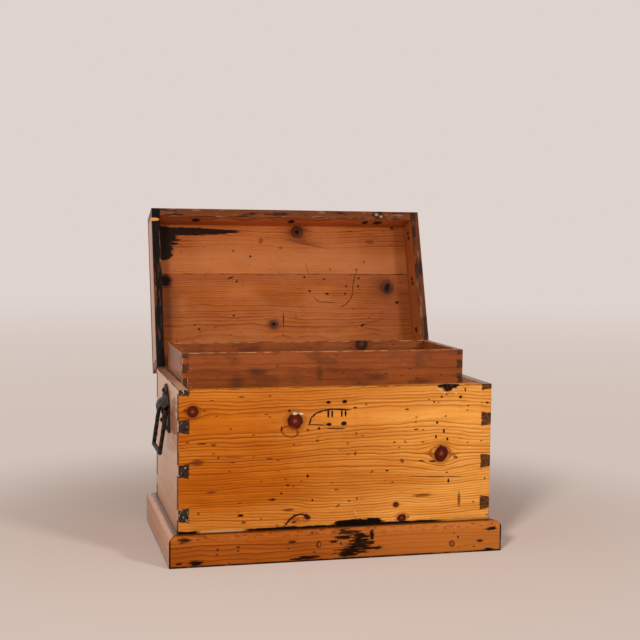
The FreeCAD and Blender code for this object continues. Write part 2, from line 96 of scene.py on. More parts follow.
# %% A socket that can be reckoned with
class Wire:
    def __init__(self, tree, socket):
        self.tree = tree
        self.socket = socket

    def node(self, kind, settings, values, output=0):
        made = self.tree.nodes.new(kind)
        for key, value in settings.items():
            setattr(made, key, value)
        for key, value in values.items():
            if isinstance(value, Wire):
                self.tree.links.new(value.socket, made.inputs[key])
            else:
                made.inputs[key].default_value = value
        return Wire(self.tree, made.outputs[output] if made.outputs else None)

    def math(self, operation, *values):
        return self.node("ShaderNodeMath", {"operation": operation}, dict(enumerate(values)))

    def __add__(self, other):
        return self.math("ADD", self, other)

    def __sub__(self, other):
        return self.math("SUBTRACT", self, other)

    def __mul__(self, other):
        return self.math("MULTIPLY", self, other)

    def __truediv__(self, other):
        return self.math("DIVIDE", self, other)

    def __pow__(self, other):
        return self.math("POWER", self, other)

    def __rtruediv__(self, other):
        return self.math("DIVIDE", other, self)

    def __radd__(self, other):
        return self.math("ADD", other, self)

    def __rsub__(self, other):
        return self.math("SUBTRACT", other, self)

    def __rmul__(self, other):
        return self.math("MULTIPLY", other, self)

    def __abs__(self):
        return self.math("ABSOLUTE", self)

    def least(self, other):
        return self.math("MINIMUM", self, other)

    def most(self, other):
        return self.math("MAXIMUM", self, other)

    def root(self):
        return self.math("SQRT", self)

    def ramp(self, low, high):
        """0 below low and 1 above high, smooth between; the other way round where low is above high."""
        settings = {"interpolation_type": "SMOOTHSTEP"}
        return self.node("ShaderNodeMapRange", settings, {0: self, 1: low, 2: high, 3: 0.0, 4: 1.0})

    def split(self):
        return [self.node("ShaderNodeSeparateXYZ", {}, {0: self}, index) for index in range(3)]

    def join(self, x, y, z):
        return self.node("ShaderNodeCombineXYZ", {}, {0: x, 1: y, 2: z})

    def moved(self, shift=(0, 0, 0), scale=(1, 1, 1)):
        return self.node("ShaderNodeVectorMath", {"operation": "MULTIPLY_ADD"}, {0: self, 1: scale, 2: shift})

    def turned(self, rotation, shift=(0, 0, 0)):
        return self.node("ShaderNodeMapping", {}, {"Vector": self, "Location": shift, "Rotation": rotation})

    def cloud(self, size, shift=0.0, detail=2.0, rough=0.5, output=0):
        """Noise whose lumps are about size along each axis."""
        scaled = self.moved((shift, shift * 0.7, shift * 1.3), tuple(1 / part for part in size))
        values = {"Vector": scaled, "Scale": 1.0, "Detail": detail, "Roughness": rough}
        return self.node("ShaderNodeTexNoise", {}, values, output)

    def blend(self, first, second):
        """The first colour where this is 0 and the second where it is 1."""
        settings = {"data_type": "RGBA", "clamp_factor": True}
        return self.node("ShaderNodeMix", settings, {0: self, 6: first, 7: second}, 2)

    def also(self, output):
        """Another output of the node that this wire comes from."""
        return Wire(self.tree, self.socket.node.outputs[output])

    def shaded(self, factor):
        return self.node("ShaderNodeVectorMath", {"operation": "SCALE"}, {0: self, 3: factor})


def paint(red, green, blue):
    """A colour as it looks on the screen, from 0 to 255, turned into the light that a shader wants."""
    parts = [part / 255 for part in (red, green, blue)]
    return tuple(((p + 0.055) / 1.055) ** 2.4 if p > 0.04045 else p / 12.92 for p in parts) + (1.0,)


def new_material(name):
    """A material whose tree is empty, and a wire that carries the place on the object in metres."""
    material = bpy.data.materials.new(name)
    material.use_nodes = True
    material.node_tree.nodes.clear()
    coordinates = material.node_tree.nodes.new("ShaderNodeTexCoord")
    return material, Wire(material.node_tree, coordinates.outputs["Object"])


print("orange pine is", [round(part, 3) for part in paint(214, 136, 60)])

# %% [markdown]
# The chest stands on a seamless pale sweep in a photographer's room.
# A real sweep would hide the back of the chest in other views, so a floor alone is laid here.
# Away from the chest it fades to a glow that ends as pale as the world behind it, which hides the horizon.

# %% Floor
pale = paint(223, 211, 206)
near_glow = paint(209, 193, 184)
floor_radius = 12.0
fade_start = 0.45
fade_end = 1.25

bpy.ops.object.select_all(action="DESELECT")
bpy.ops.mesh.primitive_circle_add(vertices=96, radius=floor_radius, fill_type="NGON", location=(0, 0, -0.0005))
floor = bpy.context.active_object
floor.name = "floor"

floor_paint, place = new_material("pale_floor")
x, y, z = place.split()
reach = (x * x + y * y).root()
plain = place.node("ShaderNodeBsdfDiffuse", {}, {"Color": paint(203, 185, 174), "Roughness": 1.0})
tone = reach.ramp(1.0, floor_radius * 0.8).blend(near_glow, pale)
glow = place.node("ShaderNodeEmission", {}, {"Color": tone, "Strength": 1.0})
sweep = place.node("ShaderNodeMixShader", {}, {0: reach.ramp(fade_start, fade_end), 1: plain, 2: glow})
place.node("ShaderNodeOutputMaterial", {}, {"Surface": sweep})
floor.data.materials.append(floor_paint)
print("floor", floor_radius, "m")

# %% [markdown]
# A soft sky lights everything a little, so that no shadow is black.
# The camera and reflections see the same pale tone as the floor, whatever strength the sky has.

# %% World
sky_strength = 0.40

world = bpy.data.worlds.new("pale_room")
bpy.context.scene.world = world
world.use_nodes = True
world.node_tree.nodes.clear()
rays = world.node_tree.nodes.new("ShaderNodeLightPath")
seen = Wire(world.node_tree, rays.outputs["Is Camera Ray"])
for other in ("Is Glossy Ray", "Is Transmission Ray"):
    seen = seen.most(Wire(world.node_tree, rays.outputs[other]))
sky = seen.node("ShaderNodeBackground", {}, {"Color": paint(250, 246, 242), "Strength": sky_strength})
room = seen.node("ShaderNodeBackground", {}, {"Color": pale, "Strength": 1.0})
both = seen.node("ShaderNodeMixShader", {}, {0: seen, 1: sky, 2: room})
seen.node("ShaderNodeOutputWorld", {}, {"Surface": both})
print("sky", sky_strength)

# %% [markdown]
# Two soft boxes stand in front, one on each side.
# Their directions can be read from the shadows that the lid's rims throw on the lid's boards.
# Each shadow is a little over half as wide as the rim is high, on both sides, so the boxes stand
# about thirty degrees off to each side. The left one is the stronger.

# %% Lights
def soft_box(name, spot, width, power, tint):
    lamp = bpy.data.lights.new(name, "AREA")
    lamp.shape = "SQUARE"
    lamp.size = width
    lamp.energy = power
    lamp.color = tint
    holder = bpy.data.objects.new(name, lamp)
    bpy.context.scene.collection.objects.link(holder)
    holder.location = spot
    towards = Vector((0, 0.05, 0.35)) - Vector(spot)
    holder.rotation_euler = towards.to_track_quat("-Z", "Y").to_euler()


soft_box("left_box", (-1.75, -2.95, 1.75), 0.55, 57, (1.0, 0.985, 0.965))
soft_box("right_box", (1.9, -3.1, 1.6), 0.60, 41, (1.0, 0.985, 0.965))

# %% [markdown]
# A construction model has razor-sharp arrises, and no old board has.
# A bevel of one width looks machined, so each edge gets its own bevel weight from a slow noise:
# the board is first cut across its grain into short lengths, and the weight changes from one to the next.

# %% Tools for worn boards
def alone(thing):
    bpy.ops.object.select_all(action="DESELECT")
    thing.select_set(True)
    bpy.context.view_layer.objects.active = thing


def finish_with(thing, kind, **settings):
    alone(thing)
    modifier = thing.modifiers.new(kind.lower(), kind)
    for key, value in settings.items():
        setattr(modifier, key, value)
    bpy.ops.object.modifier_apply(modifier=modifier.name)


def copy_of(node, name):
    """A piece with the shape of a node, its loose triangles joined."""
    piece = bpy.data.objects.new(name, nodes[node].data.copy())
    bpy.context.scene.collection.objects.link(piece)
    alone(piece)
    if piece.data.has_custom_normals:
        bpy.ops.mesh.customdata_custom_splitnormals_clear()
    bpy.ops.object.mode_set(mode="EDIT")
    bpy.ops.mesh.select_all(action="SELECT")
    bpy.ops.mesh.remove_doubles(threshold=0.00001)
    bpy.ops.object.mode_set(mode="OBJECT")
    return piece


lid_hinge = [joint for joint in frame["joints"] if joint["name"] == "lid_hinge"][0]
hinge_place = Vector(lid_hinge["pos_m"])
lid_opening = math.radians(lid_hinge["range_deg"][1])
shut_turn = Matrix.Rotation(lid_opening, 4, "X")
shut_lid = Matrix.Translation(hinge_place) @ shut_turn @ Matrix.Translation(-hinge_place)
as_it_is = Matrix.Identity(4)


def bodied(node):
    return nodes[node]["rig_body"]


def standing(node):
    """Turns a place on the node to where it is with the lid shut."""
    return shut_lid if bodied(node) == "lid" else as_it_is


def closed_box(node):
    places = [standing(node) @ vertex.co for vertex in nodes[node].data.vertices]
    low = Vector([min(place[axis] for place in places) for axis in range(3)])
    high = Vector([max(place[axis] for place in places) for axis in range(3)])
    return low, high


print("lid box when shut", closed_box("lid_board_front"))

# %% Worn arrises
cut_spacing = 0.011
arris_depth = 0.0021
near = 0.00002


def on_planes(spot, low, high):
    """The sides of the box that a place lies on, as numbers."""
    sides = set()
    for axis in range(3):
        if abs(spot[axis] - low[axis]) < near:
            sides.add(2 * axis)
        if abs(spot[axis] - high[axis]) < near:
            sides.add(2 * axis + 1)
    return sides


def worn_board(node, grain, wear=1.0):
    """A copy of a board whose outer arrises are worn, more in some places than in others."""
    name = "worn_" + node
    piece = copy_of(node, name)
    low, high = closed_box(node)
    turn = standing(node)
    back = turn.inverted()
    along = "XYZ".index(grain)
    bpy.ops.object.mode_set(mode="EDIT")
    bpy.ops.mesh.select_all(action="SELECT")
    bpy.ops.mesh.dissolve_limited(angle_limit=math.radians(0.4))
    direction = Vector((0, 0, 0))
    direction[along] = 1
    count = int((high[along] - low[along]) / cut_spacing)
    for index in range(1, count):
        spot = (low + high) / 2
        spot[along] = low[along] + (high[along] - low[along]) * index / count
        bpy.ops.mesh.select_all(action="SELECT")
        bpy.ops.mesh.bisect(plane_co=back @ spot, plane_no=back.to_3x3() @ direction)
    bpy.ops.object.mode_set(mode="OBJECT")
    mesh = piece.data
    spots = [turn @ vertex.co for vertex in mesh.vertices]
    sides = [on_planes(spot, low, high) for spot in spots]
    weights = []
    for edge in mesh.edges:
        first, second = edge.vertices
        shared = sides[first] & sides[second]
        middle = (spots[first] + spots[second]) / 2
        wobble = 0.5 + 0.5 * noise.noise(middle * 38) + 0.45 * noise.noise(middle * 140)
        weights.append(min(1.0, max(0.18, wobble * wear)) if len(shared) > 1 else 0.0)
    attribute = mesh.attributes.new("bevel_weight_edge", "FLOAT", "EDGE")
    attribute.data.foreach_set("value", weights)
    finish_with(piece, "BEVEL", limit_method="WEIGHT", width=arris_depth, segments=3, use_clamp_overlap=False)
    bpy.ops.object.shade_smooth_by_angle(angle=math.radians(32))
    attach(piece, bodied(node))
    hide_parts(node)
    return piece


boards = {}
for node, grain, slot, wear in (
    ("front_board", "X", "carcase_pine", 0.6),
    ("back_board", "X", "carcase_pine", 0.5),
    ("left_end_board", "Y", "carcase_pine", 0.6),
    ("right_end_board", "Y", "carcase_pine", 0.6),
    ("plinth_front", "X", "plinth_pine", 0.7),
    ("plinth_back", "X", "plinth_pine", 0.6),
    ("plinth_left", "Y", "plinth_pine", 0.7),
    ("plinth_right", "Y", "plinth_pine", 0.7),
    ("lid_rim_front", "X", "lid_pine", 0.9),
    ("lid_rim_back", "X", "lid_pine", 0.5),
    ("lid_rim_left", "Y", "lid_pine", 0.8),
    ("lid_rim_right", "Y", "lid_pine", 0.8),
    ("lid_board_front", "X", "lid_pine", 0.9),
    ("lid_board_back", "X", "lid_pine", 0.5),
    ("tray_front", "X", "tray_pine", 0.5),
    ("tray_back", "X", "tray_pine", 0.5),
    ("tray_left", "Y", "tray_pine", 0.5),
    ("tray_right", "Y", "tray_pine", 0.5),
):
    boards[node] = worn_board(node, grain, wear)
print("boards", {name: len(piece.data.polygons) for name, piece in boards.items()})

# %% [markdown]
# The handles are cast and forged iron, with soft rounded edges all over and a slightly lumpy skin.
# Bevels would need care at every meeting of hood, lugs and plate.
# A voxel remesh turns the whole casting into one even skin, which is then smoothed and dented a little.

# %% Iron with a cast skin
lumps = bpy.data.textures.new("lumps", "CLOUDS")
lumps.noise_scale = 0.011
lumps.noise_depth = 2


def cast_iron(node, voxel, soften, dents):
    piece = copy_of(node, "cast_" + node)
    finish_with(piece, "REMESH", mode="VOXEL", voxel_size=voxel, use_smooth_shade=True)
    finish_with(piece, "SMOOTH", factor=0.5, iterations=soften)
    finish_with(piece, "DISPLACE", texture=lumps, strength=dents, mid_level=0.75)
    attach(piece, bodied(node))
    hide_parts(node)
    return piece


castings = []
for side in ("left", "right"):
    for part, voxel, soften, dents, slot in (
        ("_handle_plate", 0.0010, 5, 0.0009, "handle_iron"),
        ("_bail", 0.0009, 7, 0.0008, "handle_iron"),
        ("_handle_nails", 0.0007, 3, 0.0005, "nail_iron"),
    ):
        casting = cast_iron(side + part, voxel, soften, dents)
        castings.append(casting)
print("castings", {piece.name: len(piece.data.polygons) for piece in castings})

# %% [markdown]
# A board is a slice of a log. Its growth rings are tubes round the pith, so a face far from the pith
# shows close straight lines, and the face just over the pith shows wide arches.
# Painted stripes would be simpler, but rings that are worked out in all three directions also turn
# every arris rightly and give the end grain its arcs.
# Each board is measured in millimetres with the lid shut: along the grain, up the face and into it.

# %% A board's own directions
class Board:
    """The wires that a board's recipe starts from."""

    def __init__(self, node, grain, face, seed):
        self.material, place = new_material(node + "_pine")
        normal = place.node("ShaderNodeTexCoord", {}, {}, 1)
        if bodied(node) == "lid":
            opening = (lid_opening, 0, 0)
            normal = normal.turned(opening)
            place = place.turned(opening, shut_lid.translation)
        order = [grain, face] + [axis for axis in "XYZ" if axis not in (grain, face)]
        sides = dict(zip("XYZ", place.shaded(1000).split()))
        self.along, self.up, self.into = [sides[axis] for axis in order]
        self.spot = self.along.join(self.along, self.up, self.into)
        low, high = closed_box(node)
        self.low = [1000 * low["XYZ".index(axis)] for axis in order]
        self.high = [1000 * high["XYZ".index(axis)] for axis in order]
        facing = dict(zip("XYZ", normal.split()))
        self.end = abs(facing[grain]).ramp(0.6, 0.85)
        self.seed = seed

    def cloud(self, size, shift=0.0, detail=2.0):
        return self.spot.cloud(size, self.seed + shift, detail)

    def from_arris(self):
        """Millimetres to the nearest arris: the middle one of the distances to the three pairs of sides."""
        gaps = []
        for wire, low, high in zip((self.along, self.up, self.into), self.low, self.high):
            gaps.append((wire - low).least(high - wire))
        first, second, third = gaps
        return first.least(second).most(first.most(second).least(third))

    def nearest_of(self, ovals, depth=6.0):
        """Distance to the nearest of some ovals, which is 1 on an oval's rim and 0 in its middle.
        An oval is given by its place along, up and into, its half length, its half width and its lean."""
        nearest = None
        for along, up, into, half_length, half_width, lean in ovals:
            middle = (along, up, into)
            halves = (half_length, half_width, depth)
            if lean:
                values = {"Vector": self.spot, "Location": middle, "Rotation": (0, 0, math.radians(lean)), "Scale": halves}
                local = self.spot.node("ShaderNodeMapping", {"vector_type": "TEXTURE"}, values)
            else:
                shift = tuple(-place / half for place, half in zip(middle, halves))
                local = self.spot.moved(shift, tuple(1 / half for half in halves))
            reach = local.node("ShaderNodeVectorMath", {"operation": "LENGTH"}, {0: local}, 1)
            nearest = reach if nearest is None else nearest.least(reach)
        return nearest


print("a board is measured from", [round(1000 * part) for part in closed_box("front_board")[0]])

# %% [markdown]
# Grain flows round a knot as water flows round a stone.
# The flow of a liquid past a cylinder has a simple formula: a line at some height is moved by that
# height times the radius squared over the distance squared. It is used here for the growth rings.

# %% Growth rings that pass round knots
through = 9000.0
knot_girth = 1.05
knot_stretch = 0.8


def bent_up(board, knots):
    """The height up the face that a place would have if the knots weren't there."""
    bent = board.up
    for along, up, into, half_length, half_width, lean in knots:
        girth = (knot_girth * max(half_length, half_width)) ** 2
        beside = board.spot.moved((-along * knot_stretch, -up, 0), (knot_stretch, 1, 0))
        reach = beside.node("ShaderNodeVectorMath", {"operation": "DOT_PRODUCT"}, {0: beside, 1: beside}, 1)
        bent = bent - (board.up - up) * girth / reach.most(girth)
    return bent


def growth(board, knots, pith, ring, drift):
    """Dark late wood as a wire from 0 to 1, and the faint streaks of one year against the next."""
    pith_up, pith_into = pith
    slow = board.cloud((330, 150, 150), detail=1.0) - 0.5
    bent = bent_up(board, knots) + slow * drift - pith_up
    deep = board.into - pith_into
    phase = (bent * bent + deep * deep).root() / ring + board.cloud((60, 24, 24), 3.0, 1.0) * 1.1
    year = phase.math("FLOOR", phase)
    turn = phase.math("FRACT", phase)
    chance = year.node("ShaderNodeTexWhiteNoise", {"noise_dimensions": "1D"}, {"W": year})
    late = turn * turn * turn * turn.ramp(1.0, 0.84) * 1.15
    return late * (chance * 0.9 + 0.4) * abs(bent).ramp(4, 20), chance


# %% [markdown]
# The colour of old pine is built up in layers, as it came about: pale spring wood, dark summer wood,
# slow changes over the board, fine fibres, knots with their dark bark and warm halo, then dirt.
# A wood's tones are a tuple: pale wood, deep wood, late wood and the end grain.

# %% Bare pine with knots
red_knot = (paint(146, 66, 34), paint(94, 25, 11))
brown_knot = (paint(104, 54, 32), paint(62, 28, 17))
bark = paint(38, 9, 5)


def pine(board, tones, knots, pith, ring=3.4, drift=26.0, contrast=0.75, knot_tones=red_knot):
    """Colour, height in millimetres and darkness of late wood."""
    pale_wood, deep_wood, late_wood, end_wood = tones
    late, chance = growth(board, knots, pith, ring, drift)
    patch = board.cloud((190, 60, 60), 7.0).ramp(0.36, 0.66)
    fibre = board.cloud((110, 3.2, 3.2), 11.0, 2.0)
    streak = board.cloud((260, 9, 9), 13.0).ramp(0.34, 0.68)
    tone = patch * 0.45 + streak * 0.33 + (chance - 0.5) * 0.2 + (fibre - 0.5) * 1.3
    colour = tone.blend(pale_wood, deep_wood)
    colour = (late * contrast).blend(colour, late_wood)
    pore = board.cloud((24, 1.7, 1.7), 17.0, 2.0).ramp(0.58, 0.72)
    colour = (pore * 0.34).blend(colour, late_wood)
    pocket = board.cloud((9, 6, 6), 19.0, 3.0).ramp(0.46, 0.62)
    end_tone = late * 0.6 + pocket * 0.55
    colour = board.end.blend(colour, end_tone.blend(end_wood, bark))
    height = late * 0.10 + fibre * 0.12 - pore * 0.06
    if knots:
        reach = board.nearest_of(knots, through) + (board.cloud((9, 9, 9), 23.0) - 0.5) * 0.35
        years = (reach * 3.2).math("FRACT", reach * 3.2)
        colour = (reach.ramp(2.3, 1.0) * 0.6).blend(colour, late_wood)
        colour = (reach.ramp(1.30, 1.10) * 0.85).blend(colour, bark)
        inside = reach.ramp(0.05, 0.5).blend(*knot_tones)
        inside = (years * reach.ramp(0.1, 0.5) * 0.45 + reach.ramp(0.75, 1.0) * 0.5).blend(inside, bark)
        colour = reach.ramp(1.08, 0.98).blend(colour, inside)
        height = height + reach.ramp(1.3, 0.9) * 0.25
    return colour, height, late


def soiled(board, colour, ovals, dirt, strength, depth=6.0, ragged=0.55, soft=0.45):
    """Dark marks with uneven rims, drawn out along the grain."""
    fray = (board.cloud((14, 2.2, 2.2), 29.0) - 0.5) * 2.0 * ragged
    mark = (board.nearest_of(ovals, depth) + fray).ramp(1.0 + soft / 2, 1.0 - soft)
    return (mark * strength).blend(colour, dirt)


def flecked(board, colour, size, share, dirt, strength):
    """Small pits and specks, each in its own cell of a scattered pattern."""
    spread = board.spot.moved((board.seed, 0, 0), tuple(1 / part for part in size))
    cells = spread.node("ShaderNodeTexVoronoi", {"distance": "EUCLIDEAN"}, {"Vector": spread, "Scale": 1.0})
    chance = cells.also(1).split()[0]
    chosen = chance.ramp(share, share - 0.02)
    return (cells.ramp(0.26, 0.10) * chosen * strength).blend(colour, dirt)


def rubbed(board, colour, reach, tint, strength, level=0.5, shift=31.0):
    """A ragged band along the arrises, where hands and tools have rubbed or dirt has gathered."""
    chance = board.cloud((26, 26, 26), shift, 3.0)
    band = board.from_arris() / reach
    mask = (chance + level - 0.5 - band * 0.22).ramp(0.42, 0.52) * band.ramp(1.6, 0.5)
    return (mask * strength).blend(colour, tint)


print("the recipes for pine are ready")

# %% [markdown]
# The finish over the wood is an old oil varnish. It is thin and satin, and duller where it is worn.
# Seen along the board it mirrors the pale room, which turns the end of the chest almost pink.
# A Principled shader does part of this by itself; the rest is painted sheen, pale pink painted into the colour of the
# end boards and the plinth's short sides. Varnish itself is only a matter of roughness and gloss.

# %% Varnish
def varnish(board, colour, height, gloss=0.42, dull=0.16, level=0.07, coat=0.0):
    """The finished material, and its colour, roughness and bump."""
    wear = board.cloud((60, 30, 30), 37.0, 3.0)
    rough = wear * dull + (gloss - dull / 2)
    dents = board.cloud((22, 12, 12), 41.0, 3.0) * 0.5
    bump = height.node("ShaderNodeBump", {}, {"Strength": 0.6, "Distance": 0.001, "Height": height + dents})
    values = {"Base Color": colour, "Roughness": rough, "Specular IOR Level": level, "Normal": bump}
    values.update({"Coat Weight": coat, "Coat Roughness": 0.30})
    skin = colour.node("ShaderNodeBsdfPrincipled", {}, values)
    skin.node("ShaderNodeOutputMaterial", {}, {"Surface": skin})
    return board.material


# Near black, for soot and for the painted shadow along the foot of the front board.
soot_and_shade = paint(12, 6, 3)
grime = paint(48, 20, 6)
scuffed = paint(216, 170, 122)
old_stain = paint(96, 40, 14)

# %% Dirt in the seams of the dovetails
pin_slope = 1 / 7


def pin_levels(node):
    """The heights where the sockets of a tail board begin and end, read from its corner arris."""
    low, high = closed_box(node)
    turn = standing(node)
    heights = set()
    for vertex in nodes[node].data.vertices:
        spot = turn @ vertex.co
        if abs(spot.x - high.x) < near and abs(spot.y - low.y) < near:
            heights.add(round(spot.z * 1000, 1))
    return sorted(heights)


def seamed(board, node, colour, strength=0.9, breadth=1.9):
    """Dark lines round the pins of a tail board, which widen towards its inner side."""
    low, high = closed_box(node)
    wall = 1000 * (high.y - low.y)
    short = 1000 * high.x - abs(board.along)
    levels = [1000 * low.z - wall] + pin_levels(node) + [1000 * high.z + wall]
    line = None
    for bottom, top in zip(levels[0::2], levels[1::2]):
        above = abs(board.up - (bottom + top) / 2) - (top - bottom) / 2 - short * pin_slope
        edge = abs(above.most(short - wall))
        line = edge if line is None else line.least(edge)
    crumbs = board.cloud((6, 5, 5), 65.0).ramp(0.34, 0.5)
    return (line.ramp(breadth * 1.3, breadth * 0.3) * crumbs * strength).blend(colour, grime)


print("sockets of the front board", pin_levels("front_board"))

# %% [markdown]
# The front board carries the portrait's most telling marks.
# Three red knots, the nail holes and the two worn slots of a lost lock, a scratch where its key
# slipped, a burnt bite in the top edge and a scar of bark low down are each placed by their
# distance from the middle of the board and from the floor.

# %% Front board
front_face = closed_box("front_board")[0].y * 1000
front_knots = (
    (-297, 304, front_face, 9.5, 9.5, 0),
    (-92, 280, front_face, 13, 13.5, 0),
    (217, 204, front_face, 12, 14.5, -25),
    (121, 102, front_face, 5, 4.5, 0),
    (134, 74, front_face, 8.5, 6.5, 10),
)


def on_front(*marks):
    return [(along, up, front_face, half_length, half_width, lean) for along, up, half_length, half_width, lean in marks]


left_wood = (paint(202, 108, 18), paint(172, 80, 3), paint(108, 42, 2), paint(84, 54, 36))
right_wood = (paint(250, 172, 80), paint(220, 134, 44), paint(152, 72, 14), paint(84, 54, 36))
brown_marks = on_front(
    (-200, 331, 7, 1.6, 0), (-260, 325, 4, 1.5, 0), (-274, 305, 2.5, 2.5, 0), (-250, 294, 3, 1.6, 0),
    (-150, 295, 4, 1.6, 0), (-312, 307, 4, 3, 0), (-256, 237, 6, 2.4, 0), (-307, 243, 3.5, 2, 0),
    (-66, 261, 3.5, 3, 0), (-46, 239, 3.5, 3, 0), (55, 310, 2.5, 2.5, 0), (188, 318, 2, 2, 0),
    (35, 252, 2.5, 2.5, 0), (116, 231, 3.5, 2.5, 30), (139, 231, 4, 2.5, -30), (248, 196, 6, 4, -30),
    (-246, 211, 4, 2, 50), (-216, 212, 22, 1.2, 0), (-143, 206, 7, 2, 0), (-217, 201, 7, 2, 0),
    (-289, 203, 15, 7, 0), (-138, 124, 10, 3, 0), (-104, 101, 12, 3, 0), (-203, 119, 3.5, 1.5, 0),
    (-195, 80, 5, 3, 0), (-285, 102, 3, 3, 0), (178, 119, 22, 4, 0), (69, 172, 5, 2, 30),
    (133, 192, 4, 6, 30), (258, 107, 3.5, 16, 0), (-2, 105, 6, 2, 35), (-5, 138, 5, 2, 0),
    (126, 220, 3.5, 1.6, 0), (-260, 143, 10, 2, 0),
)
holes = (
    (-24, 316, 5.2, 3.4), (10, 317, 5.2, 3.6), (-22, 271.5, 6, 3.6), (9, 272.5, 6.5, 4),
    (-104, 301, 3, 3), (-43, 264, 2.8, 3), (142, 298, 4, 1.6), (200, 312, 2.2, 2), (216, 322, 3, 2.4),
    (257, 321, 3.5, 3.5), (267, 336, 1.6, 5), (316, 308, 4.5, 1.9), (207, 269, 2.6, 3.4), (222, 251, 2.4, 5),
    (205, 240, 2.3, 4), (230, 234, 2.6, 4), (162, 256, 6, 1.3), (33, 210, 1.8, 4.5), (215, 220, 3, 2.4),
    (199, 189, 8, 2), (173, 191, 4.5, 1.3), (-65, 168, 2.6, 3.8), (-106, 151, 4, 1.8), (-119, 135, 2.6, 1.8),
    (-136, 124, 4, 2.4), (-55, 119, 2.4, 2.2), (-201, 94, 7, 2.6), (234, 147, 2.2, 5), (101, 173, 4, 1.8),
    (230, 165, 3, 1.5), (38, 118, 1.8, 3), (22, 114, 3, 1.6), (-280, 240, 11, 1.4), (32, 304, 4, 1.7),
    (314, 149, 2, 2), (148, 76, 3, 1.4),
)


def strokes(thick, *spots):
    """Ovals that overlap along a bent line, so that they read as one scratch."""
    pieces = []
    for (along, up), (next_along, next_up) in zip(spots, spots[1:]):
        half = math.dist((along, up), (next_along, next_up)) / 2
        lean = math.degrees(math.atan2(next_up - up, next_along - along))
        pieces.append(((along + next_along) / 2, (up + next_up) / 2, half * 1.2 + thick, thick, lean))
    return pieces


def front_board():
    board = Board("front_board", "X", "Z", 0.0)
    # Lighter towards the right: partly paler wood, partly painted sheen of the right lamp. It is also lighter towards
    # the bottom.
    paler_wood_and_sheen = board.along.ramp(-270, 310) * 0.9 + (board.cloud((240, 80, 80), 43.0) - 0.5) * 0.8
    paler_wood_and_sheen = paler_wood_and_sheen + board.up.ramp(150, 70) * 0.42
    tones = [paler_wood_and_sheen.blend(left, right) for left, right in zip(left_wood, right_wood)]
    colour, height, late = pine(board, tones, front_knots, (278, -154.5), 5.2, 34.0, 1.1)
    colour = flecked(board, colour, (16, 10, 10), 0.16, old_stain, 0.75)
    scratch = strokes(1.8, (-63, 272), (-59, 286), (-49, 295), (-34, 300), (-16, 302), (20, 300))
    scratch += strokes(1.3, (-63, 272), (-26, 270)) + strokes(1.3, (-24, 263), (8, 262))
    scratch += [(-24, 293, 2.3, 8.5, 0), (-16, 293, 2.1, 8.5, 0), (4, 293, 2.1, 8.5, 0), (12, 293, 2.3, 7.5, 0)]
    scratch += strokes(0.9, (152, 159), (268, 154)) + [(-120, 266, 1.2, 6, 0)]
    scar = on_front((-90, 78, 22, 8, 0), (-68, 80, 12, 9, 0))
    bow = on_front(*strokes(2.8, (-110, 71), (-101, 82), (-88, 90), (-74, 92)), (-66, 86, 9, 5, -35), (-92, 76, 7, 2, 20))
    loop = board.nearest_of(on_front((-103, 259, 18, 11, -14)), 30) + (board.cloud((8, 8, 8), 83.0) - 0.5) * 0.25
    ring = loop.ramp(0.74, 0.88) * loop.ramp(1.16, 1.0)
    colour = (ring * 0.8).blend(colour, paint(120, 48, 6))
    colour = soiled(board, colour, scar, paint(160, 62, 18), 0.6, ragged=0.9)
    colour = soiled(board, colour, bow, bark, 0.95, ragged=1.1, soft=0.3)
    colour = soiled(board, colour, brown_marks, old_stain, 0.8)
    colour = soiled(board, colour, on_front(*scratch), soot_and_shade, 1.0, ragged=0.25, soft=0.25)
    nail_holes, worm_holes = [on_front(*(hole + (0,) for hole in part)) for part in (holes[:4], holes[4:])]
    colour = soiled(board, colour, worm_holes, grime, 0.92, ragged=0.6, soft=0.4)
    colour = soiled(board, colour, nail_holes, soot_and_shade, 1.0, ragged=0.5, soft=0.3)
    bitten = on_front((229, 343, 13, 11, 0), (214, 344, 10, 3, 0), (246, 344, 10, 4, 0))
    colour = soiled(board, colour, bitten, soot_and_shade, 1.0, depth=16.0, ragged=0.5, soft=0.25)
    spill = on_front((42, 67, 54, 9, 0), (10, 70, 20, 6, 0), (66, 69, 26, 8, 0))
    colour = soiled(board, colour, spill, soot_and_shade, 1.0, ragged=0.55, soft=0.15)
    chips = on_front((-92, 295, 6, 3, 0), (-80, 294, 6, 2.4, 0), *strokes(0.8, (32, 93), (38, 87)),
                     *strokes(0.9, (206, 340), (216, 334)), (247, 329, 2.2, 1.6, 0), (241, 335, 2.4, 1.4, 0),
                     (222, 330, 2, 1.4, 0), (252, 342, 4, 1.2, 0))
    colour = soiled(board, colour, chips, paint(232, 200, 160), 0.8, ragged=0.8)
    colour = seamed(board, "front_board", colour)
    colour = rubbed(board, colour, 1.6, grime, 0.85)
    # Painted shadow: a black line along the foot of the front board where it meets the plinth, thicker in places,
    # with real pale dust along part of it.
    uneven = (board.cloud((16, 6, 6), 99.0) - 0.5) * 5.0
    shaded_gap = (board.up - 1000 * closed_box("plinth_front")[1].z + uneven).ramp(5.5, 3.0)
    thick = board.along.ramp(-205, -180) * board.along.ramp(240, 200) + board.along.ramp(-284, -292)
    dusty = board.along.ramp(-284, -276) * board.along.ramp(-184, -205)
    colour = (shaded_gap * (thick * 0.6 + 0.4) * (1 - dusty)).blend(colour, soot_and_shade)
    colour = (shaded_gap * dusty * 0.45).blend(colour, paint(206, 176, 140))
    return varnish(board, colour, height)


print("front board", front_face)

# %% [markdown]
# The other boards of the carcase and the plinth were cut from the same kind of pine.
# The end boards show their end grain as the pins of the dovetails. On the left they have gone grey,
# and on the right they are still brown.
# The plinth has had the most knocks: soot-black splashes, bruised corners and a black line of dirt
# along every edge.

